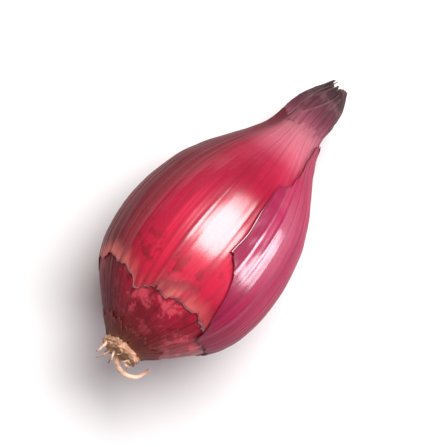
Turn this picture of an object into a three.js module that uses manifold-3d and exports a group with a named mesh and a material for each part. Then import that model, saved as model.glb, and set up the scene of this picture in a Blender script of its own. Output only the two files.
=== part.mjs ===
// A red onion set: the small dry bulb that is planted to grow an onion. It lies on its side, as it comes to
// rest, on the small flat spot under its belly.
// Millimetres, +Z up. +X runs along the bulb to its dry neck, z = 0 is the surface that it lies on, and the
// origin is at the middle of the bulb's own box, on that surface.
//
// The bulb grew as one piece, so it is one solid: root plate, belly, shoulders, dry neck and root ends.

import * as THREE from "three";
import { mergeVertices } from "three/addons/utils/BufferGeometryUtils.js";
import Module from "manifold-3d";

// ---- driving dimensions -------------------------------------------------------------------------------

const LENGTH = 35; // root plate to the tip of the neck
const GIRTH = 18; // widest diameter
const FLATNESS = 0.97; // height of the belly as a share of its width
const PLATE_RADIUS = 2.1; // corky root plate
const PLATE_THICKNESS = 0.5;

const NECK_START = 0.7; // where the shoulders end and the dry neck begins, as a share of LENGTH
const NECK_FOLDS = 5; // pleats round the dried neck
const FOLD_DEPTH = 0.22;
const FOLD_TWIST = 1.4; // radians that the pleats turn along the neck
const NECK_SWAY = 0.45; // sideways lean of the tip, towards -Y

const LOBES = 3; // broad swellings of the scales under the skin
const LOBE_HEIGHT = 0.012; // as a share of the radius
const LOBE_TURN = 1; // radians that the swellings are turned round the bulb

const REST_TILT = THREE.MathUtils.degToRad(7.5); // neck down, so that the weight is over the flat spot
const FLAT_DEPTH = 0.2; // how much the belly is flattened where it rests

const ROUND_STEPS = 48; // facets round the bulb
const FLANK_STEPS = 40; // rings along its flank

// The dried roots: where each leaves the plate (angle and radius), its length, and how far it curls.
const ROOT_THICKNESS = 0.6;
const ROOT_SIDES = 8;
const ROOT_STEPS = 7;
const ROOT_SUNK = 0.5; // the length of each root that is inside the plate
const ROOTS = [
  { angle: 0.35, out: 1.25, length: 1.5, curl: 0.7 },
  { angle: 1.45, out: 1.1, length: 1.9, curl: -1.0 },
  { angle: 2.35, out: 1.35, length: 1.3, curl: 0.8 },
  { angle: 4.2, out: 1.3, length: 2.3, curl: 1.1 },
  { angle: 5.35, out: 1.3, length: 1.6, curl: -0.8 },
  { angle: 3.3, out: -0.3, length: 5.6, curl: 3.1 },
];

// ---- the bulb's shape ---------------------------------------------------------------------------------

// Half of the outline, from the root plate to the neck: share of LENGTH, share of GIRTH / 2.
const FLANK = [
  [0.016, 0.26],
  [0.045, 0.38],
  [0.1, 0.6],
  [0.15, 0.77],
  [0.2, 0.89],
  [0.26, 0.965],
  [0.36, 1],
  [0.5, 0.93],
  [0.6, 0.775],
  [0.67, 0.61],
  [0.74, 0.435],
  [0.805, 0.31],
  [0.87, 0.265],
  [0.93, 0.205],
  [0.985, 0.1],
];

function outline() {
  const flank = new THREE.SplineCurve(
    FLANK.map(([along, out]) => new THREE.Vector2((out * GIRTH) / 2, along * LENGTH)),
  );
  return [
    new THREE.Vector2(0, 0),
    new THREE.Vector2(PLATE_RADIUS, 0),
    new THREE.Vector2(PLATE_RADIUS, PLATE_THICKNESS),
    ...flank.getPoints(FLANK_STEPS),
    new THREE.Vector2(0, LENGTH),
  ];
}

// The lathed outline stands on +Y. This lays a point of it along +X and gives it the grown shape: broad lobes
// on the belly, pleats that twist along the neck, and a neck that leans a little to one side.
function grown(point) {
  const along = point.y / LENGTH;
  const out = Math.hypot(point.x, point.z);
  const angle = Math.atan2(point.x, point.z);
  const neck = THREE.MathUtils.smoothstep(along, NECK_START, 1);
  const belly = Math.sin(Math.PI * along);
  const lobe = 1 + LOBE_HEIGHT * belly * Math.cos(LOBES * angle + LOBE_TURN);
  const folded = Math.sin(Math.PI * neck) * Math.min(1, out); // deepest half way up the neck
  const pleat = FOLD_DEPTH * folded * Math.cos(NECK_FOLDS * angle + FOLD_TWIST * neck);
  const radius = out * lobe + pleat;
  const sway = NECK_SWAY * neck * neck;
  return point.set(point.y, radius * Math.cos(angle) - sway, radius * Math.sin(angle) * FLATNESS);
}

function bulbGeometry() {
  const lathe = new THREE.LatheGeometry(outline(), ROUND_STEPS);
  const places = lathe.getAttribute("position");
  const point = new THREE.Vector3();
  for (let i = 0; i < places.count; i++) {
    grown(point.fromBufferAttribute(places, i));
    places.setXYZ(i, point.x, point.y, point.z);
  }
  return lathe;
}

// One dried root: a round thread that leaves the plate straight and curls towards one side.
function rootGeometry({ angle, out, length, curl }) {
  const side = new THREE.Vector3(0, Math.cos(angle), Math.sin(angle));
  const away = new THREE.Vector3(-1, 0, 0);
  const place = side.clone().multiplyScalar(out).addScaledVector(away, -ROOT_SUNK);
  const stretch = (length + ROOT_SUNK) / ROOT_STEPS;
  const route = [place.clone()];
  for (let i = 1; i <= ROOT_STEPS; i++) {
    const turned = curl * Math.max(0, (i - 1) / (ROOT_STEPS - 1));
    place.addScaledVector(away, stretch * Math.cos(turned));
    place.addScaledVector(side, stretch * Math.sin(turned));
    route.push(place.clone());
  }
  const section = new THREE.Shape(
    new THREE.EllipseCurve(0, 0, ROOT_THICKNESS / 2, ROOT_THICKNESS / 2).getPoints(ROOT_SIDES).slice(0, -1),
  );
  return new THREE.ExtrudeGeometry(section, {
    steps: ROOT_STEPS,
    extrudePath: new THREE.CatmullRomCurve3(route),
  });
}

// ---- joining and cutting ------------------------------------------------------------------------------

const wasm = await Module();
wasm.setup();

// A closed three.js geometry as a solid. Triangles that shrink to a line at the lathe's poles are dropped.
function solid(geometry) {
  const bare = new THREE.BufferGeometry();
  bare.setAttribute("position", geometry.getAttribute("position"));
  bare.setIndex(geometry.getIndex());
  const merged = mergeVertices(bare, 1e-3);
  const corners = merged.getIndex().array;
  const kept = [];
  for (let i = 0; i < corners.length; i += 3) {
    const [a, b, c] = [corners[i], corners[i + 1], corners[i + 2]];
    if (a !== b && b !== c && c !== a) kept.push(a, b, c);
  }
  return new wasm.Manifold(
    new wasm.Mesh({
      numProp: 3,
      vertProperties: merged.getAttribute("position").array,
      triVerts: new Uint32Array(kept),
    }),
  );
}

function geometryOf(manifold) {
  const { vertProperties, triVerts } = manifold.getMesh();
  const geometry = new THREE.BufferGeometry();
  geometry.setAttribute("position", new THREE.BufferAttribute(vertProperties, 3));
  geometry.setIndex(new THREE.BufferAttribute(triVerts, 1));
  geometry.computeVertexNormals();
  return geometry;
}

// ---- the object ---------------------------------------------------------------------------------------

function onionSetGeometry() {
  let whole = solid(bulbGeometry());
  for (const root of ROOTS) whole = whole.add(solid(rootGeometry(root)));

  const resting = geometryOf(whole).rotateY(REST_TILT);
  resting.computeBoundingBox();
  const { min, max } = resting.boundingBox;
  resting.translate(-(min.x + max.x) / 2, -(min.y + max.y) / 2, -min.z - FLAT_DEPTH);

  const surface = new THREE.BoxGeometry(2 * LENGTH, 2 * GIRTH, GIRTH).translate(0, 0, -GIRTH / 2);
  return geometryOf(solid(resting).subtract(solid(surface)));
}

const skin = new THREE.MeshStandardMaterial({ color: 0xa81f3c, roughness: 0.35, metalness: 0 });

const onionSet = new THREE.Mesh(onionSetGeometry(), skin);
onionSet.name = "onion_set";

const group = new THREE.Group();
group.add(onionSet);

export default group;
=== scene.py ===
# A red onion set, the small dry bulb that is planted to grow an onion. It lies on its side on a pale table.
# Lengths are in metres and +Z is up. +X runs from the root plate to the dried neck.
#
# It is put together here from the inside out: the sound bulb, the crimson skin that is its dry outer
# wrapping, an older purple skin that is still stuck to one side, the dried neck leaves, the collar of husk
# at the base, and the root plate with its roots.

from math import cos, pi, radians, sin

import bmesh
import bpy
from mathutils import Matrix, Vector, noise


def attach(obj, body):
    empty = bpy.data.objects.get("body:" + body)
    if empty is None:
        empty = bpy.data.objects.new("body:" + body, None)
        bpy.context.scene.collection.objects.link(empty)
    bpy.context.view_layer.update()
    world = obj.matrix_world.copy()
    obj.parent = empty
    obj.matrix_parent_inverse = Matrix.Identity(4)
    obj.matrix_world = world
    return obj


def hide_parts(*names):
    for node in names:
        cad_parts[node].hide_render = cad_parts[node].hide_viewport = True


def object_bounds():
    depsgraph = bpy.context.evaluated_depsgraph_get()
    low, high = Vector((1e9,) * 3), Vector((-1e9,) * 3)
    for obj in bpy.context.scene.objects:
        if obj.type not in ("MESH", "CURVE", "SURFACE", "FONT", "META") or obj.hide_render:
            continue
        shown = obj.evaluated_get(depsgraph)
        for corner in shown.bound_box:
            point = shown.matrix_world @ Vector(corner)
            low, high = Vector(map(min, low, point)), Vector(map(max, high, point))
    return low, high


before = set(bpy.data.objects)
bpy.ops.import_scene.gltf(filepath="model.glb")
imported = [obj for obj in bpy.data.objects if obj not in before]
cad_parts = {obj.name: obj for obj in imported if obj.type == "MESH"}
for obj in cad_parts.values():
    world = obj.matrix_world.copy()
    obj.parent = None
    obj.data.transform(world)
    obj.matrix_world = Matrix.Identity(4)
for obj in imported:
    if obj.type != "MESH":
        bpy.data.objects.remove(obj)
cad_low, cad_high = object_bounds()

# ---- the sound bulb ------------------------------------------------------------------------------------
# The firm bulb under the loose skins: tight scales that grew as one body round the root plate, fat near
# the roots and drawn out to a neck. It shows below the torn edge of its skins, duller and mottled. All the
# layers over it follow one surface, which is made here once, as a node group.

LENGTH = 0.035  # root plate to the tip of the neck
GIRTH = 0.018  # widest diameter
FLATNESS = 0.97  # height of the belly as a share of its width
REST_TILT = radians(7.5)  # the neck hangs down by this much when the bulb rests on its belly
PLATE_HEIGHT = 0.010135  # middle of the root plate above the table
PLATE_ASIDE = -0.00005
PLATE_PLACE = (cad_high.x - LENGTH * cos(REST_TILT), PLATE_ASIDE, PLATE_HEIGHT)
REST_BLEND = 0.0002  # how softly the belly runs into the flat spot that it rests on
SEAM_REACH = 0.000002  # corners closer than this are one corner

# Half of the outline: how far along the bulb, and how far out as a share of half the girth.
FLANK = [
    (0, 0.22), (0.016, 0.26), (0.045, 0.38), (0.1, 0.6), (0.15, 0.77), (0.2, 0.89), (0.26, 0.965),
    (0.36, 1), (0.5, 0.93), (0.6, 0.775), (0.67, 0.61), (0.74, 0.435), (0.805, 0.31), (0.87, 0.265),
    (0.93, 0.205), (0.985, 0.1), (1, 0.07),
]
NECK_START = 0.7  # where the shoulders end and the dry neck begins, as a share of LENGTH


class Field:
    """One output of a node. Sums and functions of it add the nodes that work them out."""

    def __init__(self, tree, socket):
        self.tree = tree
        self.socket = socket

    def maths(self, operation, *others):
        return add(self.tree, "ShaderNodeMath", dict(enumerate((self, *others))), operation=operation)

    def __add__(self, other):
        return self.maths("ADD", other)

    def __sub__(self, other):
        return self.maths("SUBTRACT", other)

    def __rsub__(self, other):
        return self.maths("MULTIPLY", -1).maths("ADD", other)

    def __mul__(self, other):
        return self.maths("MULTIPLY", other)

    def __truediv__(self, other):
        return self.maths("DIVIDE", other)

    def __pow__(self, other):
        return self.maths("POWER", other)

    __radd__ = __add__
    __rmul__ = __mul__

    def sin(self):
        return self.maths("SINE")

    def cos(self):
        return self.maths("COSINE")

    def least(self, other):
        return self.maths("MINIMUM", other)

    def most(self, other):
        return self.maths("MAXIMUM", other)

    def step(self, low, high):
        """0 below `low`, 1 above `high`, and smooth between them."""
        ends = {"Value": self, "From Min": low, "From Max": high}
        return add(self.tree, "ShaderNodeMapRange", ends, interpolation_type="SMOOTHSTEP")

    def between(self, first, last):
        """Where this is 0 it gives `first`, and where it is 1 `last`."""
        return first + self * (last - first)


def add(tree, kind, values=None, out=0, **settings):
    """Adds a node, fills its inputs by name or number, and gives the output called `out`."""
    made = tree.nodes.new(kind)
    for name, value in settings.items():
        setattr(made, name, value)
    for name, value in (values or {}).items():
        if isinstance(value, Field):
            tree.links.new(value.socket, made.inputs[name])
        else:
            made.inputs[name].default_value = value
    if isinstance(out, tuple):
        return [Field(tree, made.outputs[name]) for name in out]
    return Field(tree, made.outputs[out])


SOCKETS = {float: "NodeSocketFloat", int: "NodeSocketInt"}


def takes(tree, sizes, material=False):
    """Gives a tree its named inputs, with what they are unless a piece says otherwise."""
    for name, value in sizes.items():
        socket = tree.interface.new_socket(name, in_out="INPUT", socket_type=SOCKETS[type(value)])
        socket.default_value = value
    if material:
        tree.interface.new_socket("Material", in_out="INPUT", socket_type="NodeSocketMaterial")
    start = tree.nodes.new("NodeGroupInput")
    return {socket.name: Field(tree, socket) for socket in start.outputs if socket.name}


def gives(tree, results):
    """Gives a tree its named outputs."""
    for name, (kind, field) in results.items():
        tree.interface.new_socket(name, in_out="OUTPUT", socket_type=kind)
    end = tree.nodes.new("NodeGroupOutput")
    for name, (kind, field) in results.items():
        tree.links.new(field.socket, end.inputs[name])


def point(tree, x, y, z):
    return add(tree, "ShaderNodeCombineXYZ", {"X": x, "Y": y, "Z": z}, out="Vector")


def ripple(around, along, across, lengthways, seed):
    """Noise from about -1 to 1 with no seam round the bulb: `across` fine round it, `lengthways` along."""
    tree = around.tree
    place = point(tree, around.cos() * across, around.sin() * across, along * lengthways)
    values = {"Vector": place, "W": seed, "Scale": 1.0, "Detail": 2.0}
    return add(tree, "ShaderNodeTexNoise", values, noise_dimensions="4D") * 4 - 2


def ragged(around, across, seed):
    """The same noise for an edge, which changes only round the bulb."""
    return ripple(around, 0, across, 1.0, seed)


def ribs(around, along, count, seed):
    """Fine raised lines that wander from the roots to the neck, from 0 between them to 1 on top."""
    wander = ripple(around, along, 2.5, 0.8, seed) * 1.8
    strength = ripple(around, along, 6.0, 1.5, seed + 3).step(-0.8, 0.9)
    return ((around * count + wander).cos() * 0.5 + 0.5) ** 5 * strength


def laid(x, y, z, lowest):
    """Lays a point of the bulb, given along its own axis, where the bulb lies, no lower than `lowest`."""
    flat_x = x * cos(REST_TILT) + z * sin(REST_TILT) + PLATE_PLACE[0]
    flat_z = z * cos(REST_TILT) - x * sin(REST_TILT) + PLATE_PLACE[2]
    return point(x.tree, flat_x, y + PLATE_PLACE[1], flat_z.maths("SMOOTH_MAX", lowest, REST_BLEND))


surface = bpy.data.node_groups.new("bulb_surface", "GeometryNodeTree")
size = takes(
    surface,
    {
        "Along": 0.0, "Around": 0.0, "Height": 0.0, "Share": 1.0, "Lowest": 0.0,
        "Length": LENGTH, "Girth": GIRTH, "Flatness": FLATNESS,
        "Lobes": 3, "Lobe height": 0.012, "Lobe turn": 1.0,
        "Folds": 5, "Fold depth": 0.00026, "Fold twist": 1.4, "Crease depth": 0.00011,
        "Sway": -0.00045, "Dent depth": 0.00007, "Seed": 4.0,
    },
)
along = size["Along"]
around = size["Around"]
flank = add(surface, "ShaderNodeFloatCurve", {"Value": along})
drawn = flank.socket.node.mapping
drawn.curves[0].points[0].location = FLANK[0]
drawn.curves[0].points[1].location = FLANK[-1]
for place in FLANK[1:-1]:
    drawn.curves[0].points.new(*place)
drawn.update()
neck = along.step(NECK_START, 1.0)
lobe = (along * pi).sin() * (around * size["Lobes"] + size["Lobe turn"]).cos() * size["Lobe height"] + 1
folded = (neck * pi).sin() * (around * size["Folds"] + neck * size["Fold twist"]).cos() * size["Fold depth"]
creased = along.step(0.62, 0.82) * ripple(around, along, 2.6, 3.0, size["Seed"] + 9) * size["Crease depth"]
dented = ripple(around, along, 1.6, 4.5, size["Seed"]) * size["Dent depth"]
out = (flank * size["Girth"] / 2 * lobe + folded + creased + dented) * size["Share"] + size["Height"]
sideways = out * around.cos() + neck * neck * size["Sway"]
upwards = out * around.sin() * size["Flatness"]
position = laid(along * size["Length"], sideways, upwards, size["Lowest"])
gives(surface, {"Position": ("NodeSocketVector", position)})


def on_surface(tree, along, around, height, lowest, share=1.0):
    """A place at a height over the bulb's surface. `share` is how much of its radius the bulb has there."""
    values = {"Along": along, "Around": around, "Height": height, "Share": share, "Lowest": lowest}
    return add(tree, "GeometryNodeGroup", values, node_tree=surface)


def sheet_of_faces(tree, across, lengthways):
    """A flat grid to bend into shape, and its two coordinates, each from 0 to 1."""
    counts = {"Vertices X": across, "Vertices Y": lengthways}
    grid, flat = add(tree, "GeometryNodeMeshGrid", counts, out=("Mesh", "UV Map"))
    values = {"Geometry": grid, "Name": "UVMap", "Value": flat}
    grid = add(tree, "GeometryNodeStoreNamedAttribute", values, data_type="FLOAT2", domain="CORNER")
    q, p = add(tree, "ShaderNodeSeparateXYZ", {"Vector": flat}, out=("X", "Y"))
    return grid, q, p


def marked(geometry, name, value, kind="FLOAT"):
    """Keeps a value on every corner of a shape, under `name`."""
    values = {"Geometry": geometry, "Name": name, "Value": value}
    return add(geometry.tree, "GeometryNodeStoreNamedAttribute", values, data_type=kind, domain="POINT")


def placed(geometry, position, along, around, from_edge=None):
    """Moves the faces to their place, keeps on them where they grew, and closes their seam."""
    tree = geometry.tree
    geometry = marked(geometry, "grown", point(tree, around.cos(), around.sin(), along), "FLOAT_VECTOR")
    if from_edge is not None:
        geometry = marked(geometry, "from_edge", from_edge)
    geometry = add(tree, "GeometryNodeSetPosition", {"Geometry": geometry, "Position": position})
    return add(tree, "GeometryNodeMergeByDistance", {"Geometry": geometry, "Distance": SEAM_REACH})


def finished(geometry, material):
    """The end of every tree: plain faces, smooth, with their material."""
    tree = geometry.tree
    geometry = add(tree, "GeometryNodeRealizeInstances", {"Geometry": geometry})
    geometry = add(tree, "GeometryNodeSetShadeSmooth", {"Geometry": geometry})
    geometry = add(tree, "GeometryNodeSetMaterial", {"Geometry": geometry, "Material": material})
    gives(tree, {"Geometry": ("NodeSocketGeometry", geometry)})


def grown(name, tree, material, **sizes):
    """Runs a tree and keeps what it makes as a plain mesh."""
    piece = bpy.data.objects.new(name, bpy.data.meshes.new(name))
    bpy.context.scene.collection.objects.link(piece)
    modifier = piece.modifiers.new("grown", "NODES")
    modifier.node_group = tree
    for socket in tree.interface.items_tree:
        word = socket.name.replace(" ", "_").lower()
        if word in sizes:
            modifier[socket.identifier] = sizes[word]
        if socket.name == "Material":
            modifier[socket.identifier] = material
    made = piece.evaluated_get(bpy.context.evaluated_depsgraph_get())
    mesh = bpy.data.meshes.new_from_object(made)
    piece.modifiers.clear()
    piece.data = mesh
    mesh.name = name
    return piece


def kept(piece):
    """Every piece is part of the one body."""
    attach(piece, "root")


bulb_tree = bpy.data.node_groups.new("bulb_tree", "GeometryNodeTree")
size = takes(
    bulb_tree,
    {
        "Steps around": 300, "Steps along": 200,
        "First": 0.008, "Last": 0.965, "End round": 0.02, "Crowding": 0.8,
        "Height": -0.00026, "Lowest": 0.00024, "Rib count": 46, "Rib height": 0.00004, "Seed": 2.0,
    },
    material=True,
)
grid, q, p = sheet_of_faces(bulb_tree, size["Steps around"], size["Steps along"])
around = q * 2 * pi
crowded = p - (p * 2 * pi).sin() * size["Crowding"] / (2 * pi)  # more rings where the ends are rounded
along = crowded.between(size["First"], size["Last"])
near_first = ((along - size["First"]) / size["End round"]).least(1.0)
near_last = ((size["Last"] - along) / size["End round"]).least(1.0)
rounded = (near_first * (2 - near_first) * near_last * (2 - near_last)).most(0.0) ** 0.5
rib = ribs(around, along, size["Rib count"], size["Seed"]) * size["Rib height"]
height = (size["Height"] + rib) * rounded
position = on_surface(bulb_tree, along, around, height, size["Lowest"], rounded)
finished(placed(grid, position, along, around), size["Material"])


def tint(code):
    """The colour that a screen shows for an HTML code, as a shader takes it."""
    shares = [int(code[i : i + 2], 16) / 255 for i in (1, 3, 5)]
    linear = [((share + 0.055) / 1.055) ** 2.4 if share > 0.04 else share / 12.92 for share in shares]
    return (*linear, 1.0)


def mixed(amount, first, second):
    """The first colour where `amount` is 0 and the second where it is 1."""
    values = {0: amount, 6: first, 7: second}
    return add(amount.tree, "ShaderNodeMix", values, out=2, data_type="RGBA")


def banded(along, bands):
    """A colour that changes along the bulb, from its bands of (place, colour)."""
    made = add(along.tree, "ShaderNodeValToRGB", {"Fac": along}, out="Color")
    stops = made.socket.node.color_ramp.elements
    stops[0].position, stops[0].color = bands[0][0], tint(bands[0][1])
    stops[1].position, stops[1].color = bands[-1][0], tint(bands[-1][1])
    for place, code in bands[1:-1]:
        stops.new(place).color = tint(code)
    return made


def shader_group(name, sizes, make):
    """A node group for the materials. `make` works out its masks from its inputs."""
    group = bpy.data.node_groups.new(name, "ShaderNodeTree")
    fields = takes(group, sizes)
    gives(group, {mask: ("NodeSocketFloat", field) for mask, field in make(group, fields).items()})
    return group


def where_grown(tree):
    """How far along the bulb and how far round it a point of the skin is."""
    grown_at = add(tree, "ShaderNodeAttribute", out="Vector", attribute_name="grown")
    y, z, along = add(tree, "ShaderNodeSeparateXYZ", {"Vector": grown_at}, out=("X", "Y", "Z"))
    return along, z.maths("ARCTAN2", y)


def veins_made(group, size):
    """The veins that run from the roots to the neck."""
    along, around = where_grown(group)
    wander = ripple(around, along, 2.5, 1.2, size["Seed"]) * 2.2
    line = ((around * size["Count"] + wander).cos() * 0.5 + 0.5) ** size["Sharpness"]
    strength = ripple(around, along, 9.0, 2.5, size["Seed"] + 5).step(-0.9, 0.9)
    return {"Line": line * strength}


def streaks_made(group, size):
    """Broad streaks of colour, and the fine threads of the skin, both drawn out along the bulb."""
    along, around = where_grown(group)
    broad = ripple(around, along, size["Fineness"], size["Stretch"], size["Seed"])
    fine = ripple(around, along, size["Fineness"] * 4, size["Stretch"] * 2.5, size["Seed"] + 7)
    return {"Streak": (broad * 0.65 + fine * 0.45).step(-0.9, 0.9), "Thread": fine.step(-1.0, 1.0)}


def blotches_made(group, size):
    """Stains with an edge, and the cloud that they are cut out of."""
    at = add(group, "ShaderNodeTexCoord", out="Object")
    values = {"Vector": at, "Scale": size["Scale"], "Detail": 5.0, "Roughness": 0.62}
    cloud = add(group, "ShaderNodeTexNoise", values)
    edge = size["Threshold"]
    return {"Blotch": cloud.step(edge, edge + size["Softness"]), "Cloud": cloud}


def painted_shade_made(group, size):
    """Painted shade on the +Y side of the bulb: 1 there and 0 round from it, to darken and dull it."""
    _, around = where_grown(group)
    return {"Shaded": around.cos().step(size["Edge"], size["Full"])}


veins = shader_group("veins", {"Count": 60, "Sharpness": 6.0, "Seed": 1.0}, veins_made)
streaks = shader_group("streaks", {"Fineness": 7.0, "Stretch": 3.0, "Seed": 1.0}, streaks_made)
blotches = shader_group("blotches", {"Scale": 400.0, "Threshold": 0.5, "Softness": 0.08}, blotches_made)
shade = shader_group("shade", {"Edge": 0.5, "Full": 0.95}, painted_shade_made)


def effect(tree, group, out, **sizes):
    """Places one of those groups in a material with its own values."""
    values = {name.capitalize(): value for name, value in sizes.items()}
    return add(tree, "ShaderNodeGroup", values, out=out, node_tree=group)


def material_of(name, **shader):
    """A new material, its tree and its shader, whose plain values are set here on its own sockets."""
    made = bpy.data.materials.new(name)
    made.use_nodes = True
    finish = made.node_tree.nodes["Principled BSDF"]
    for words, value in shader.items():
        finish.inputs[words.replace("_", " ")].default_value = value
    return made, made.node_tree, finish


def coloured(tree, finish, colour, roughness, bumps, gloss=None):
    """Joins what changes over the surface to the shader. `bumps` are pairs of height and its depth."""
    tree.links.new(colour.socket, finish.inputs["Base Color"])
    tree.links.new(roughness.socket, finish.inputs["Roughness"])
    if gloss:
        tree.links.new(gloss.socket, finish.inputs["Coat Weight"])
    normal = None
    for height, depth in bumps:
        bump = tree.nodes.new("ShaderNodeBump")
        bump.inputs["Distance"].default_value = depth
        tree.links.new(height.socket, bump.inputs["Height"])
        if normal:
            tree.links.new(normal, bump.inputs["Normal"])
        normal = bump.outputs["Normal"]
    tree.links.new(normal, finish.inputs["Normal"])


bare_bulb, tree, finish = material_of("bare_bulb", Coat_Roughness=0.25, Specular_IOR_Level=0.15)
along, _ = where_grown(tree)
streak, thread = effect(tree, streaks, ("Streak", "Thread"), fineness=6.0, stretch=5.0, seed=11.0)
line = effect(tree, veins, "Line", count=46, sharpness=5.0, seed=2.0)
flake = effect(tree, blotches, "Blotch", scale=620.0, threshold=0.49, softness=0.1)
bruise = effect(tree, blotches, "Blotch", scale=430.0, threshold=0.5, softness=0.08)
colour = banded(
    along,
    [
        (0.0, "#7c5846"), (0.03, "#76382e"), (0.07, "#801a26"), (0.11, "#9c1230"),
        (0.16, "#b41038"), (0.3, "#c00e38"), (0.8, "#6a2a34"), (1.0, "#3c2628"),
    ],
)
colour = mixed(streak * 0.5, colour, tint("#6a0c1a"))
colour = mixed(flake * along.step(0.03, 0.12) * 0.6, colour, tint("#e25464"))
colour = mixed(bruise * 0.55, colour, tint("#6c0814"))
colour = mixed(line * 0.4, colour, tint("#3c080e"))
# painted shade: the +Y side of the bare bulb is darkened to maroon and its gloss dulled
painted_shade = effect(tree, shade, "Shaded")
colour = mixed(painted_shade * 0.7, colour, tint("#4c0812"))
gloss = (1 - painted_shade) * 0.25
coloured(
    tree, finish, colour, thread.between(0.42, 0.6), [(thread, 0.00005), (line, 0.00004)], gloss
)

bulb = grown("bulb", bulb_tree, bare_bulb)
kept(bulb)
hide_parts("onion_set")

# ---- the crimson skin ----------------------------------------------------------------------------------
# The dry outer skin: one papery scale that wraps the whole bulb and runs up into the neck. It grew with the
# bulb and dried on it, glossy and tight, with fine raised veins. Its lower edge has torn off in a ragged
# line, along which it has bleached in places.

skin_tree = bpy.data.node_groups.new("skin_tree", "GeometryNodeTree")
size = takes(
    skin_tree,
    {
        "Steps around": 420, "Steps along": 90, "Lower": 0.2, "Upper": 0.9,
        "First angle": 0.0, "Last angle": 360.0, "Open sides": 0.0,
        "Lower slant": 0.0, "Upper slant": 0.0, "Slant reach": 0.4, "Side rag": 0.0,
        "Rag": 0.03, "Notch": 0.06, "Strips": 46, "Split": 0.008,
        "Gap": 0.0, "Lift": 0.0002, "Lift reach": 0.0008, "Lift side": 60.0, "Lift start": -0.2,
        "Rib count": 46, "Rib height": 0.00004, "Wrinkle": 0.00002, "Lowest": 0.00016, "Seed": 1.0,
    },
    material=True,
)
grid, q, p = sheet_of_faces(skin_tree, size["Steps around"], size["Steps along"])
seed = size["Seed"]
first = size["First angle"] * pi / 180 + (p * 9 + seed).sin() * size["Side rag"]
last = size["Last angle"] * pi / 180 + (p * 7 + seed).sin() * size["Side rag"]
around = q.between(first, last)
beside = 1 - (q.least(1 - q) / size["Slant reach"]).step(0.0, 1.0)
torn = ragged(around, 1.3, seed) + ragged(around, 4.5, seed + 1) * 0.35
notch = ragged(around, 8.0, seed + 2).step(0.5, 1.4) + ragged(around, 26.0, seed + 3) * 0.03
strip = (around / (2 * pi) * size["Strips"]).maths("FLOOR").maths("MODULO", size["Strips"])
split = ragged(strip * 2.4, 3.0, seed + 5) * size["Split"]
lower = size["Lower"] + torn * size["Rag"] + notch * size["Notch"] + split + beside * size["Lower slant"]
frayed = ragged(around, 7.0, seed + 4)
upper = size["Upper"] + frayed * size["Rag"] - split * 0.7 - beside * size["Upper slant"]
along = p.between(lower, upper)
lengthways = (along - lower).least(upper - along) * LENGTH
sideways = q.least(1 - q) * (last - first) * GIRTH / 2 + (1 - size["Open sides"])
from_edge = lengthways.least(sideways)
curling = (0 - from_edge / size["Lift reach"]).maths("EXPONENT")
patchy = ripple(around, along, 2.0, 6.0, seed + 6).step(-0.9, 0.7)
facing = (around - size["Lift side"] * pi / 180).cos().step(-0.2, 0.6)
loose = along.step(size["Lift start"], size["Lift start"] + 0.2)  # a skin lies tight below its lift start
lift = curling * patchy * facing * loose * size["Lift"]
rib = ribs(around, along, size["Rib count"], seed + 8) * size["Rib height"]
wrinkle = ripple(around, along, 7.0, 2.0, seed + 10) * size["Wrinkle"]
position = on_surface(skin_tree, along, around, size["Gap"] + lift + rib + wrinkle, size["Lowest"])
finished(placed(grid, position, along, around, from_edge), size["Material"])


def thickened(piece, thickness):
    """Gives a skin its thickness, outwards, with a rim."""
    solid = piece.modifiers.new("thickness", "SOLIDIFY")
    solid.thickness = thickness
    solid.offset = 1
    solid.use_rim = True


def edge_made(group, size):
    """The rim of a torn edge: 1 on the edge, and 0 from a little way in."""
    from_edge = add(group, "ShaderNodeAttribute", out="Fac", attribute_name="from_edge")
    return {"Rim": 1 - from_edge.step(size["Near"], size["Far"])}


torn_edge = shader_group("torn_edge", {"Near": 0.0, "Far": 0.0003}, edge_made)

crimson, tree, finish = material_of(
    "crimson_skin", Coat_Roughness=0.22, Coat_IOR=2.0, Specular_IOR_Level=0.14,
)
along, around = where_grown(tree)
streak, thread = effect(tree, streaks, ("Streak", "Thread"), fineness=6.0, stretch=2.2, seed=21.0)
flush = effect(tree, streaks, "Streak", fineness=2.5, stretch=3.0, seed=31.0)
line = effect(tree, veins, "Line", count=46, sharpness=7.0, seed=9.0)
fine_line = effect(tree, veins, "Line", count=150, sharpness=3.0, seed=12.0)
# The skin's own crimson along the bulb; the darker band over the shoulders, 0.5 to 0.66 along, is partly
# painted shade
colour = banded(
    along,
    [
        (0.12, "#b80e2e"), (0.25, "#d40e3c"), (0.4, "#c60a3c"), (0.5, "#a80834"), (0.58, "#8e062a"),
        (0.66, "#982640"), (0.73, "#b0586a"), (0.79, "#a8606c"), (0.85, "#7c4a56"), (0.92, "#543640"),
    ],
)
body = along.step(0.76, 0.62)
colour = mixed(flush * body * 0.3, colour, tint("#d41444"))
colour = mixed(streak * (body + 0.3) * 0.4, colour, tint("#7a0420"))
colour = mixed(line * 0.35 + fine_line * 0.15, colour, tint("#58041a"))
bruise = effect(tree, blotches, "Blotch", scale=430.0, threshold=0.5, softness=0.08)
colour = mixed(bruise * along.step(0.4, 0.2) * 0.7, colour, tint("#7c081a"))
# painted shade: the +Y side of the crimson skin is darkened
painted_shade = effect(tree, shade, "Shaded")
colour = mixed(painted_shade * 0.85, colour, tint("#4c0412"))
painted_lower_shade = around.cos().step(0.1, -0.6) * along.step(0.37, 0.21)  # painted shade, low on the -Y side of the skin
colour = mixed(painted_lower_shade * 0.6, colour, tint("#7c0424"))
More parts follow.
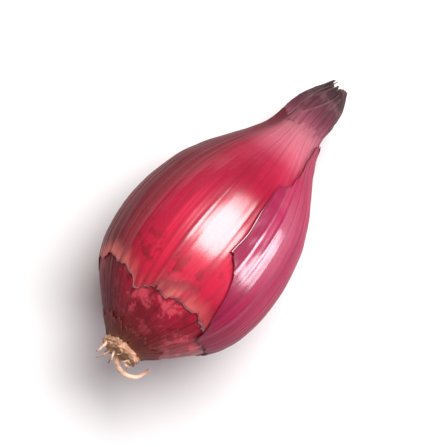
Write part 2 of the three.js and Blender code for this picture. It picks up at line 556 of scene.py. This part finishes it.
# the bleached rim is held back where that painted shade lies
bleached = effect(tree, torn_edge, "Rim", far=0.002) * flush.step(0.15, 0.75) * (1 - painted_lower_shade * 0.7)
colour = mixed(bleached * 0.75, colour, tint("#e07068"))
roughness = thread.between(0.36, 0.5) + along.step(0.66, 0.8) * 0.25
gloss = along.step(0.66, 0.44) * (1 - painted_shade) * 0.75  # the dry neck and the shaded side are dull
coloured(tree, finish, colour, roughness, [(thread, 0.00003), (fine_line, 0.000015)], gloss)

crimson_skin = grown(
    "crimson_skin", skin_tree, crimson,
    lower=0.16, upper=0.9, gap=-0.0002, lift=0.00007, lift_side=70.0, seed=1.0,
)
thickened(crimson_skin, 0.00004)
kept(crimson_skin)

# ---- the old purple skin -------------------------------------------------------------------------------
# What is left of an older, outermost skin. It split along the top of the bulb and its other half flaked
# off, so it covers one side and the belly. It is more purple, and its free edge has dried dark and lifted
# a little; the dark rim along that edge is also painted shadow of the lift.

purple, tree, finish = material_of(
    "purple_skin", Coat_Roughness=0.22, Coat_IOR=2.0, Specular_IOR_Level=0.08,
)
along, around = where_grown(tree)
streak, thread = effect(tree, streaks, ("Streak", "Thread"), fineness=7.0, stretch=2.0, seed=41.0)
flush = effect(tree, streaks, "Streak", fineness=2.2, stretch=2.5, seed=47.0)
line = effect(tree, veins, "Line", count=40, sharpness=7.0, seed=19.0)
fine_line = effect(tree, veins, "Line", count=140, sharpness=3.0, seed=22.0)
colour = banded(
    along,
    [(0.12, "#700828"), (0.25, "#860636"), (0.5, "#9a0844"), (0.65, "#9c1e46"), (0.8, "#944e5a")],
)
colour = mixed(flush * 0.35, colour, tint("#b60c50"))
colour = mixed(streak * 0.5, colour, tint("#600c2c"))
colour = mixed(line * 0.45 + fine_line * 0.2, colour, tint("#40061e"))
# painted shadow of the lifted free edge, over its own dried dark colour
rim = effect(tree, torn_edge, "Rim", near=0.0001, far=0.0004)
colour = mixed(rim * 0.6, colour, tint("#64182c"))
upper_side = around.sin().step(0.55, 0.95)
gloss = along.step(0.7, 0.5) * upper_side.between(0.1, 1.0) * 0.75  # the neck and the belly are dull
coloured(
    tree, finish, colour, thread.between(0.38, 0.55), [(thread, 0.00003), (fine_line, 0.000015)], gloss
)

purple_skin = grown(
    "purple_skin", skin_tree, purple,
    steps_around=260, first_angle=99.0, last_angle=325.0, lower=0.14, upper=0.8, open_sides=1.0,
    lower_slant=0.22, upper_slant=0.2, slant_reach=0.17, side_rag=0.012, rag=0.02, notch=0.04,
    gap=-0.00005, lift=0.0003, lift_reach=0.0014, lift_side=120.0, lift_start=0.22,
    rib_count=40, lowest=0.00008, seed=5.0,
)
thickened(purple_skin, 0.00006)
kept(purple_skin)

# ---- the dried neck leaves -----------------------------------------------------------------------------
# The withered bases of the leaves, cut or broken off above the neck. They dried into brown-mauve strips
# that wrap and twist round each other, crinkled, with dark frayed tips.

leaf_tree = bpy.data.node_groups.new("leaf_tree", "GeometryNodeTree")
size = takes(
    leaf_tree,
    {
        "Leaves": 8, "Steps across": 18, "Steps along": 44, "Start": 0.8, "End": 1.0, "Shortest": 0.035,
        "Base width": 100.0, "Tip width": 70.0, "Twist": 45.0, "Gap": -0.00034, "Layer": 0.00005,
        "Rise": 0.0003, "Flare": 0.00005, "Curl": 0.0001, "Crinkle": 0.00007, "Fray": 0.025,
        "Lowest": 0.00004, "Seed": 3,
    },
    material=True,
)


def chance(index, low, high, seed):
    """A random number from `low` to `high` that is the same each time for one index and seed."""
    return add(index.tree, "FunctionNodeRandomValue", {2: low, 3: high, "ID": index, "Seed": seed}, out=1)


def copied(geometry, count, name):
    """Several copies of a shape, each with its own number kept under `name`."""
    tree = geometry.tree
    single = add(tree, "GeometryNodeGeometryToInstance", {"Geometry": geometry})
    values = {"Geometry": single, "Amount": count}
    results = ("Geometry", "Duplicate Index")
    copies, index = add(tree, "GeometryNodeDuplicateElements", values, out=results, domain="INSTANCE")
    values = {"Geometry": copies, "Name": name, "Value": index}
    copies = add(tree, "GeometryNodeStoreNamedAttribute", values, data_type="INT", domain="INSTANCE")
    copies = add(tree, "GeometryNodeRealizeInstances", {"Geometry": copies})
    return copies, add(tree, "GeometryNodeInputNamedAttribute", {"Name": name}, data_type="INT")


grid, q, p = sheet_of_faces(leaf_tree, size["Steps across"], size["Steps along"])
grid = marked(grid, "across", q)
grid = marked(grid, "lengthways", p)
grid, leaf = copied(grid, size["Leaves"], "leaf")
q = add(leaf_tree, "GeometryNodeInputNamedAttribute", {"Name": "across"}, data_type="FLOAT")
p = add(leaf_tree, "GeometryNodeInputNamedAttribute", {"Name": "lengthways"}, data_type="FLOAT")
seed = size["Seed"]
middle = leaf / size["Leaves"] * 2 * pi + chance(leaf, -0.4, 0.4, seed)
width = p.between(size["Base width"], size["Tip width"]) * chance(leaf, 0.75, 1.2, seed + 1) * pi / 180
turn = size["Twist"] * pi / 180 * p
around = middle + turn + (q - 0.5) * width
fray = ragged(q * 3 + leaf * 2.1, 2.0, leaf + 0.5) * size["Fray"]
start = size["Start"] + chance(leaf, -0.02, 0.03, seed + 2)
end = size["End"] - chance(leaf, 0.0, size["Shortest"], seed + 3) + fray.least(0.0)
along = p.between(start, end)
crinkle = ripple(around, along, 3.5, 22.0, leaf * 1.7) * size["Crinkle"]
layer = size["Gap"] + leaf.maths("MODULO", 3) * size["Layer"] + p.step(0.0, 0.6) * size["Rise"]
flare = p ** 3 * size["Flare"] * chance(leaf, 0.2, 1.0, seed + 4)
curl = ((q - 0.5) * 2).maths("ABSOLUTE") ** 3 * size["Curl"] * chance(leaf, 0.1, 1.0, seed + 5)
height = layer + flare + curl + crinkle * (p + 0.3)
position = on_surface(leaf_tree, along, around, height, size["Lowest"])
from_edge = (q.least(1 - q) * width * 0.002).least((end - along) * LENGTH)
finished(placed(grid, position, along, around, from_edge), size["Material"])

dry_leaf, tree, finish = material_of("dry_leaf", Specular_IOR_Level=0.25)
along, _ = where_grown(tree)
streak, thread = effect(tree, streaks, ("Streak", "Thread"), fineness=5.0, stretch=3.0, seed=51.0)
line = effect(tree, veins, "Line", count=34, sharpness=4.0, seed=53.0)
stain = effect(tree, blotches, "Blotch", scale=520.0, threshold=0.5, softness=0.1)
colour = banded(
    along,
    [
        (0.78, "#a8525e"), (0.83, "#904658"), (0.87, "#682c3c"), (0.92, "#46222c"),
        (0.96, "#2c1a1e"), (1.0, "#181012"),
    ],
)
colour = mixed(streak * 0.5, colour, tint("#3c1c24"))
colour = mixed(stain * 0.2, colour, tint("#906468"))
colour = mixed(line * 0.5, colour, tint("#2c1419"))
rim = effect(tree, torn_edge, "Rim", far=0.0003)
colour = mixed(rim * 0.15, colour, tint("#b89488"))
coloured(tree, finish, colour, thread.between(0.6, 0.85), [(thread, 0.00006), (line, 0.00004)])

neck_leaves = grown("neck_leaves", leaf_tree, dry_leaf)
thickened(neck_leaves, 0.00006)
kept(neck_leaves)

# ---- the husk at the base ------------------------------------------------------------------------------
# A low brown collar round the root plate, where every skin is joined to the bulb. It is what stayed behind
# of older skins that have torn off, and its edge is split along their veins.

husk, tree, finish = material_of("husk", Specular_IOR_Level=0.25)
along, _ = where_grown(tree)
streak, thread = effect(tree, streaks, ("Streak", "Thread"), fineness=8.0, stretch=6.0, seed=61.0)
line = effect(tree, veins, "Line", count=50, sharpness=4.0, seed=63.0)
colour = banded(along, [(0.0, "#7c5440"), (0.025, "#74382a"), (0.045, "#762428"), (0.08, "#801a26")])
colour = mixed(streak * 0.5, colour, tint("#481410"))
colour = mixed(line * 0.4, colour, tint("#300c0d"))
rim = effect(tree, torn_edge, "Rim", far=0.0002)
colour = mixed(rim * thread * 0.3, colour, tint("#b4765e"))
coloured(tree, finish, colour, thread.between(0.5, 0.75), [(thread, 0.00005), (line, 0.00003)])

base_husk = grown(
    "base_husk", skin_tree, husk,
    steps_along=40, lower=0.014, upper=0.05, rag=0.022, notch=0.0, strips=70, split=0.006, gap=-0.00022,
    lift=0.00012, lift_reach=0.0008, lift_side=60.0, rib_count=34, lowest=0.0002, seed=9.0,
)
thickened(base_husk, 0.00005)
kept(base_husk)

# ---- the root plate ------------------------------------------------------------------------------------
# The short flat stem that every scale and root grows from. On a dry set it is a hard corky button, rough
# with the scars of roots that have broken off.

PLATE_RADIUS = 0.0021
PLATE_DEPTH = 0.0007
PLATE_SQUARENESS = 0.5  # 1 is an ellipsoid, and less is a button with a squarer rim
PLATE_SUNK = 0.35  # how much of its depth is inside the bulb's end
ROUGH_FINENESS = 3.1
ROUGH_GRAIN = (0.8, 2.1, 4)  # fade, spacing and number of its octaves
SCAR_FINENESS = 4.0
RIM_ROUGHNESS = 0.07  # as a share of the radius
FACE_ROUGHNESS = 0.35  # as shares of the depth
SCAR_DEPTH = 0.25

laid_down = Matrix.Translation(PLATE_PLACE) @ Matrix.Rotation(REST_TILT, 4, "Y")
shape = bmesh.new()
bmesh.ops.create_uvsphere(shape, u_segments=96, v_segments=56, radius=1)
for corner in shape.verts:
    ball = corner.co.copy()
    flat = abs(ball.z) ** PLATE_SQUARENESS * (1 if ball.z > 0 else -1)
    out = Vector((ball.x, ball.y))
    out *= (out.length ** PLATE_SQUARENESS / out.length) if out.length > 1e-6 else 0
    rough = noise.fractal(Vector((out.x, out.y, flat)) * ROUGH_FINENESS, *ROUGH_GRAIN)
    scar = noise.cell(Vector((out.x, out.y, 0)) * SCAR_FINENESS)
    wide = PLATE_RADIUS * (1 + RIM_ROUGHNESS * rough)
    deep = PLATE_DEPTH * (1 + FACE_ROUGHNESS * rough + SCAR_DEPTH * scar * (1 - out.length))
    corner.co = laid_down @ Vector((PLATE_DEPTH * PLATE_SUNK - flat * deep, out.x * wide, out.y * wide))
shape.normal_update()
bmesh.ops.recalc_face_normals(shape, faces=shape.faces)
for face in shape.faces:
    face.smooth = True
root_plate = bpy.data.objects.new("root_plate", bpy.data.meshes.new("root_plate"))
shape.to_mesh(root_plate.data)
bpy.context.scene.collection.objects.link(root_plate)

cork, tree, finish = material_of("cork", Specular_IOR_Level=0.3)
grain, cloud = effect(tree, blotches, ("Blotch", "Cloud"), scale=1500.0, threshold=0.45, softness=0.2)
scar, patch = effect(tree, blotches, ("Blotch", "Cloud"), scale=620.0, threshold=0.54, softness=0.05)
colour = mixed(grain, tint("#a87c62"), tint("#d2a488"))
colour = mixed(scar * 0.6, colour, tint("#6c4838"))
coloured(tree, finish, colour, cloud.between(0.7, 0.95), [(cloud, 0.0002), (patch, 0.0002)])
root_plate.data.materials.append(cork)
kept(root_plate)

# ---- the roots -----------------------------------------------------------------------------------------
# Dead roots, dried to pale wiry threads. Most have broken off short where they leave the root plate. One is
# longer and has curled right round to the side.

root_tree = bpy.data.node_groups.new("root_tree", "GeometryNodeTree")
size = takes(
    root_tree,
    {
        "Roots": 15, "Steps": 26, "Sides": 9, "Start angle": 0.0, "Stray": 0.9, "Sunk": 0.0004,
        "Least reach": 0.0004, "Most reach": 0.0018, "Least length": 0.0009, "Most length": 0.0022,
        "Least curl": -1.9, "Most curl": 1.9, "Thickness": 0.00042, "Tip": 0.4, "Knobs": 0.16,
        "Crinkle": 0.00007, "Seed": 7,
    },
    material=True,
)
thread_line = add(root_tree, "GeometryNodeCurvePrimitiveLine", out="Curve")
thread_line = add(root_tree, "GeometryNodeResampleCurve", {"Curve": thread_line, "Count": size["Steps"]})
threads, root = copied(thread_line, size["Roots"], "root")
seed = size["Seed"]
angle = root / size["Roots"] * 2 * pi + size["Start angle"] + chance(root, -0.5, 0.5, seed) * size["Stray"]
reach = chance(root, size["Least reach"], size["Most reach"], seed + 1)
long = chance(root, size["Least length"], size["Most length"], seed + 2) + size["Sunk"]
curl = chance(root, size["Least curl"], size["Most curl"], seed + 3)
curl = curl + curl.maths("SIGN") * 0.2  # no root is quite straight
sway = angle + chance(root, -1.4, 1.4, seed + 4) * size["Stray"]
part = add(root_tree, "GeometryNodeSplineParameter", out="Factor")
bend = part * curl
away = bend.sin() / curl * long - size["Sunk"]
aside = (1 - bend.cos()) / curl * long
kink = ragged(part * 2.2 + root * 1.3, 2.2, root * 0.7 + 2) * size["Crinkle"] * part
kink_up = ragged(part * 2.2 + root * 2.1, 2.2, root * 0.9 + 5) * size["Crinkle"] * part
y = angle.cos() * reach + aside * sway.cos() + kink
z = angle.sin() * reach + aside * sway.sin() + kink_up
position = laid(0 - away, y, z, size["Thickness"] / 2)
threads = add(root_tree, "GeometryNodeSetPosition", {"Geometry": threads, "Position": position})
knobbly = 1 + ragged(part * 5 + root * 1.9, 2.0, root * 1.1) * size["Knobs"]
radius = part.between(1.0, size["Tip"]) * knobbly * size["Thickness"] / 2 * chance(root, 0.6, 1.0, seed + 5)
threads = marked(threads, "lengthways", part)
values = {"Resolution": size["Sides"], "Radius": 1.0}
ring = add(root_tree, "GeometryNodeCurvePrimitiveCircle", values, out="Curve")
values = {"Curve": threads, "Profile Curve": ring, "Scale": radius, "Fill Caps": True}
finished(add(root_tree, "GeometryNodeCurveToMesh", values), size["Material"])

dry_root, tree, finish = material_of("dry_root", Specular_IOR_Level=0.35)
lengthways = add(tree, "ShaderNodeAttribute", out="Fac", attribute_name="lengthways")
grain, cloud = effect(tree, blotches, ("Blotch", "Cloud"), scale=1800.0, threshold=0.48, softness=0.15)
colour = banded(lengthways, [(0.0, "#c09276"), (0.25, "#e2b69c"), (0.7, "#e2bea6"), (1.0, "#a8826c")])
colour = mixed(grain * 0.4, colour, tint("#8d6650"))
coloured(tree, finish, colour, cloud.between(0.6, 0.9), [(cloud, 0.00012)])

roots = grown("roots", root_tree, dry_root)
kept(roots)

curled_root = grown(
    "curled_root", root_tree, dry_root,
    roots=1, steps=60, sides=14, start_angle=3.3, stray=0.0, least_reach=-0.0003, most_reach=-0.0003,
    least_length=0.0056, most_length=0.0056, least_curl=3.0, most_curl=3.0, thickness=0.0007, tip=0.55,
    crinkle=0.0001, seed=2,
)
kept(curled_root)

# ---- the table, the light and the camera ---------------------------------------------------------------
# A white table top under three soft lights: the key light high on the far right, a weaker one low on the
# right, and a wide fill from the left. The camera looks down on the bulb, a little from the left.

TABLE_SIDE = 6.0
VIEW_TURN = radians(50)  # how far the bulb's length is turned up from the lower edge of the view
VIEW_LEAN = radians(8)  # off the vertical
VIEW_DISTANCE = 0.45
VIEW_WIDTH = 0.044  # width of the view at the bulb
FILM_WIDTH = 36

table = bpy.data.objects.new("table", bpy.data.meshes.new("table"))
half = TABLE_SIDE / 2
corners = [(-half, -half, 0), (half, -half, 0), (half, half, 0), (-half, half, 0)]
table.data.from_pydata(corners, [], [(0, 1, 2, 3)])
bpy.context.scene.collection.objects.link(table)
white, tree, finish = material_of("table_white", Specular_IOR_Level=0.2)
cloud = effect(tree, blotches, "Cloud", scale=60.0, threshold=0.5, softness=0.2)
colour = mixed(cloud, tint("#e0dfdf"), tint("#dcdbdb"))
coloured(tree, finish, colour, cloud.between(0.6, 0.8), [(cloud, 0.00001)])
table.data.materials.append(white)

right = Vector((cos(VIEW_TURN), -sin(VIEW_TURN), 0))
upward = Vector((sin(VIEW_TURN), cos(VIEW_TURN), 0))
over = Vector((0, 0, 1))
middle = (cad_low + cad_high) / 2


def softbox(name, lean, turn, distance, sides, power, colour):
    """A soft light over the bulb: `lean` off the vertical, `turn` round from the right of the view. `sides`
    are its size across the bulb and along it."""
    lamp = bpy.data.lights.new(name, "AREA")
    lamp.shape = "ELLIPSE"
    lamp.size, lamp.size_y = sides
    lamp.energy = power
    lamp.color = colour
    outward = right * cos(radians(turn)) + upward * sin(radians(turn))
    direction = over * cos(radians(lean)) + outward * sin(radians(lean))
    lengthways = direction.cross(Vector((0, 1, 0))).normalized()
    crossways = lengthways.cross(direction)
    holder = bpy.data.objects.new(name, lamp)
    holder.matrix_world = Matrix.Translation(middle + direction * distance) @ Matrix(
        (crossways, lengthways, direction)
    ).transposed().to_4x4()
    holder.visible_camera = False
    bpy.context.scene.collection.objects.link(holder)


WARM_WHITE = (1.0, 0.99, 0.98)
PALE_PINK = (1.0, 0.88, 0.96)
WHITE = (1.0, 1.0, 1.0)
softbox("key", lean=30, turn=62, distance=0.5, sides=(0.5, 0.33), power=4.5, colour=WARM_WHITE)
softbox("side", lean=72, turn=-16, distance=0.5, sides=(0.17, 0.3), power=1.7, colour=PALE_PINK)
softbox("fill", lean=48, turn=232, distance=0.7, sides=(0.9, 0.9), power=0.9, colour=WHITE)

world = bpy.data.worlds.new("studio")
world.use_nodes = True
room = world.node_tree.nodes["Background"]
room.inputs["Color"].default_value = (*WHITE, 1.0)
room.inputs["Strength"].default_value = 0.15
bpy.context.scene.world = world
bpy.context.scene.view_settings.view_transform = "Standard"

back = over * cos(VIEW_LEAN) - right * sin(VIEW_LEAN)
across = right * cos(VIEW_LEAN) + over * sin(VIEW_LEAN)
camera = bpy.data.objects.new("camera", bpy.data.cameras.new("camera"))
camera.data.sensor_width = FILM_WIDTH
camera.data.lens = FILM_WIDTH * VIEW_DISTANCE / VIEW_WIDTH
camera.matrix_world = Matrix.Translation(middle + back * VIEW_DISTANCE) @ Matrix(
    (across, upward, back)
).transposed().to_4x4()
bpy.context.scene.collection.objects.link(camera)
bpy.context.scene.camera = camera
